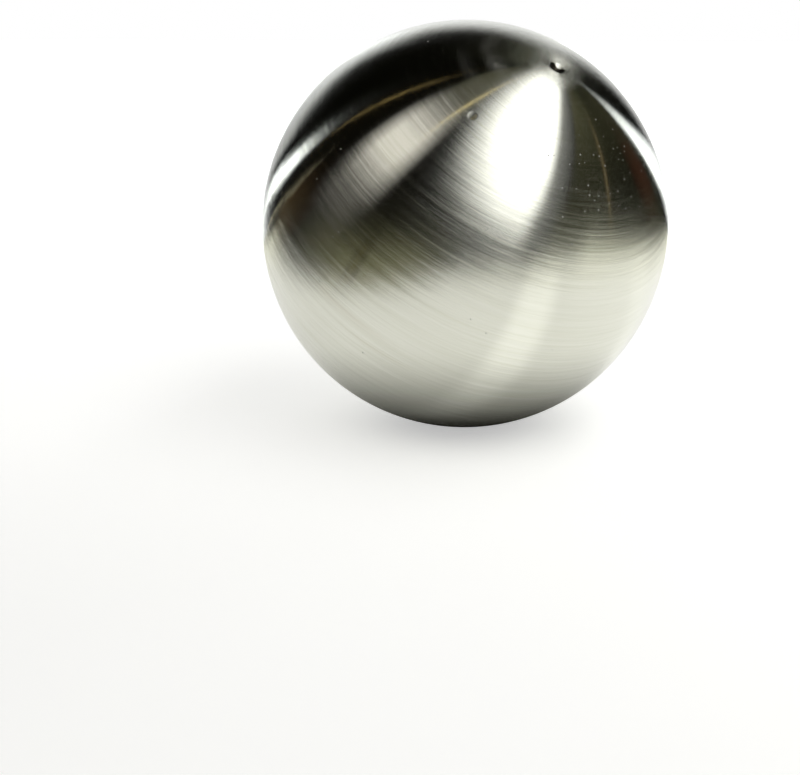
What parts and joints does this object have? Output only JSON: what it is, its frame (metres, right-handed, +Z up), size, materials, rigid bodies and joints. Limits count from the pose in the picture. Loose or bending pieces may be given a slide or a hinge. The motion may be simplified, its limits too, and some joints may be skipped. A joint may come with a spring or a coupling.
{
  "type": "steel sphere",
  "caption": "Solid steel ball turned in one piece, with a brushed finish round its turning axis and a small centre mark at one end of that axis.",
  "frame": {"origin": "centre of the ball", "axes": "+Z up as the ball lies; the turning axis is in the XZ plane and leans 36 degrees from +Z towards +X"},
  "size_m": [0.05, 0.05, 0.05],
  "materials": {
    "brushed_steel": "fine brushed lines in rings round the turning axis, lightly scratched and dusty"
  },
  "bodies": {
    "root": {"steel_sphere": "brushed_steel"}
  },
  "joints": []
}
